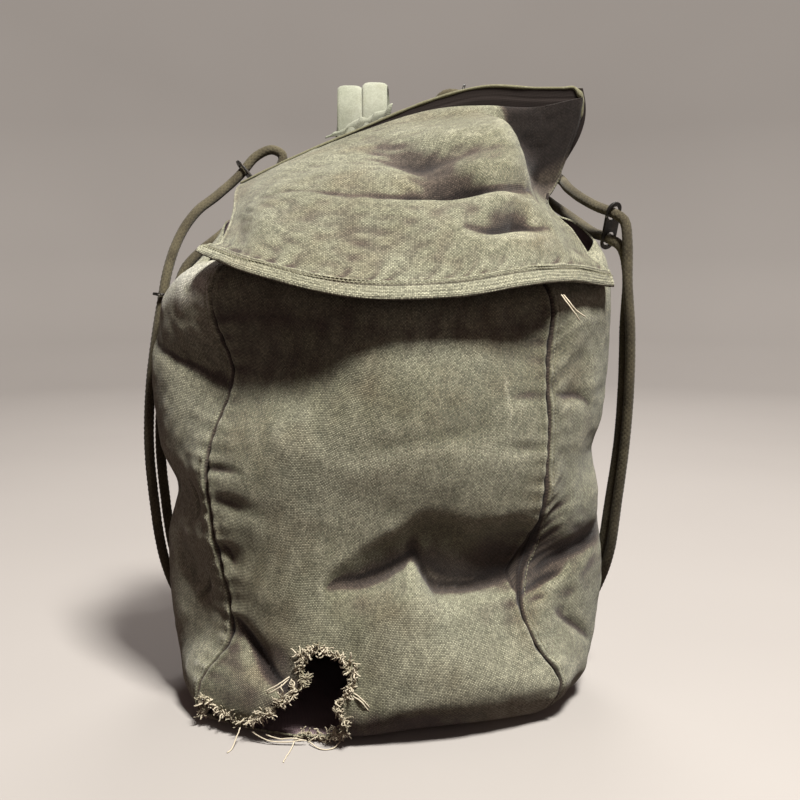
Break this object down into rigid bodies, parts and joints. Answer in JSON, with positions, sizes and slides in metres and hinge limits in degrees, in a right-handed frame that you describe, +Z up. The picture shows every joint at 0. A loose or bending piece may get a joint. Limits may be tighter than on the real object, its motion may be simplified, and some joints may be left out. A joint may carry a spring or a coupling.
{
  "type": "field pack",
  "caption": "Soft canvas field pack with side gussets, a hemmed lid flap, webbing shoulder straps, closing cords with metal slides and a torn lower corner.",
  "frame": {"origin": "middle of the pack's own box, without its cords, on the surface that it stands on", "axes": "+Z up, -Y towards the front of the pack, +X to the right as seen from the front"},
  "size_m": [0.4645, 0.3208, 0.5857],
  "materials": {
    "canvas": "worn olive duck canvas",
    "webbing": "faded green cotton webbing",
    "cord": "braided cotton cord",
    "slide": "worn dark paint"
  },
  "bodies": {
    "root": {"front_panel": "canvas", "back_panel": "canvas", "side_panel_left": "canvas", "side_panel_right": "canvas", "lid_flap": "canvas", "shoulder_strap_left": "webbing", "shoulder_strap_right": "webbing", "side_cord_left": "cord", "side_cord_right": "cord", "shoulder_slide_left": "slide", "shoulder_slide_right": "slide", "top_slide_left": "slide", "top_slide_right": "slide", "cord_keeper_left": "webbing", "cord_keeper_right": "webbing", "cord_tab_left": "webbing", "cord_tab_right": "webbing"}
  },
  "joints": []
}
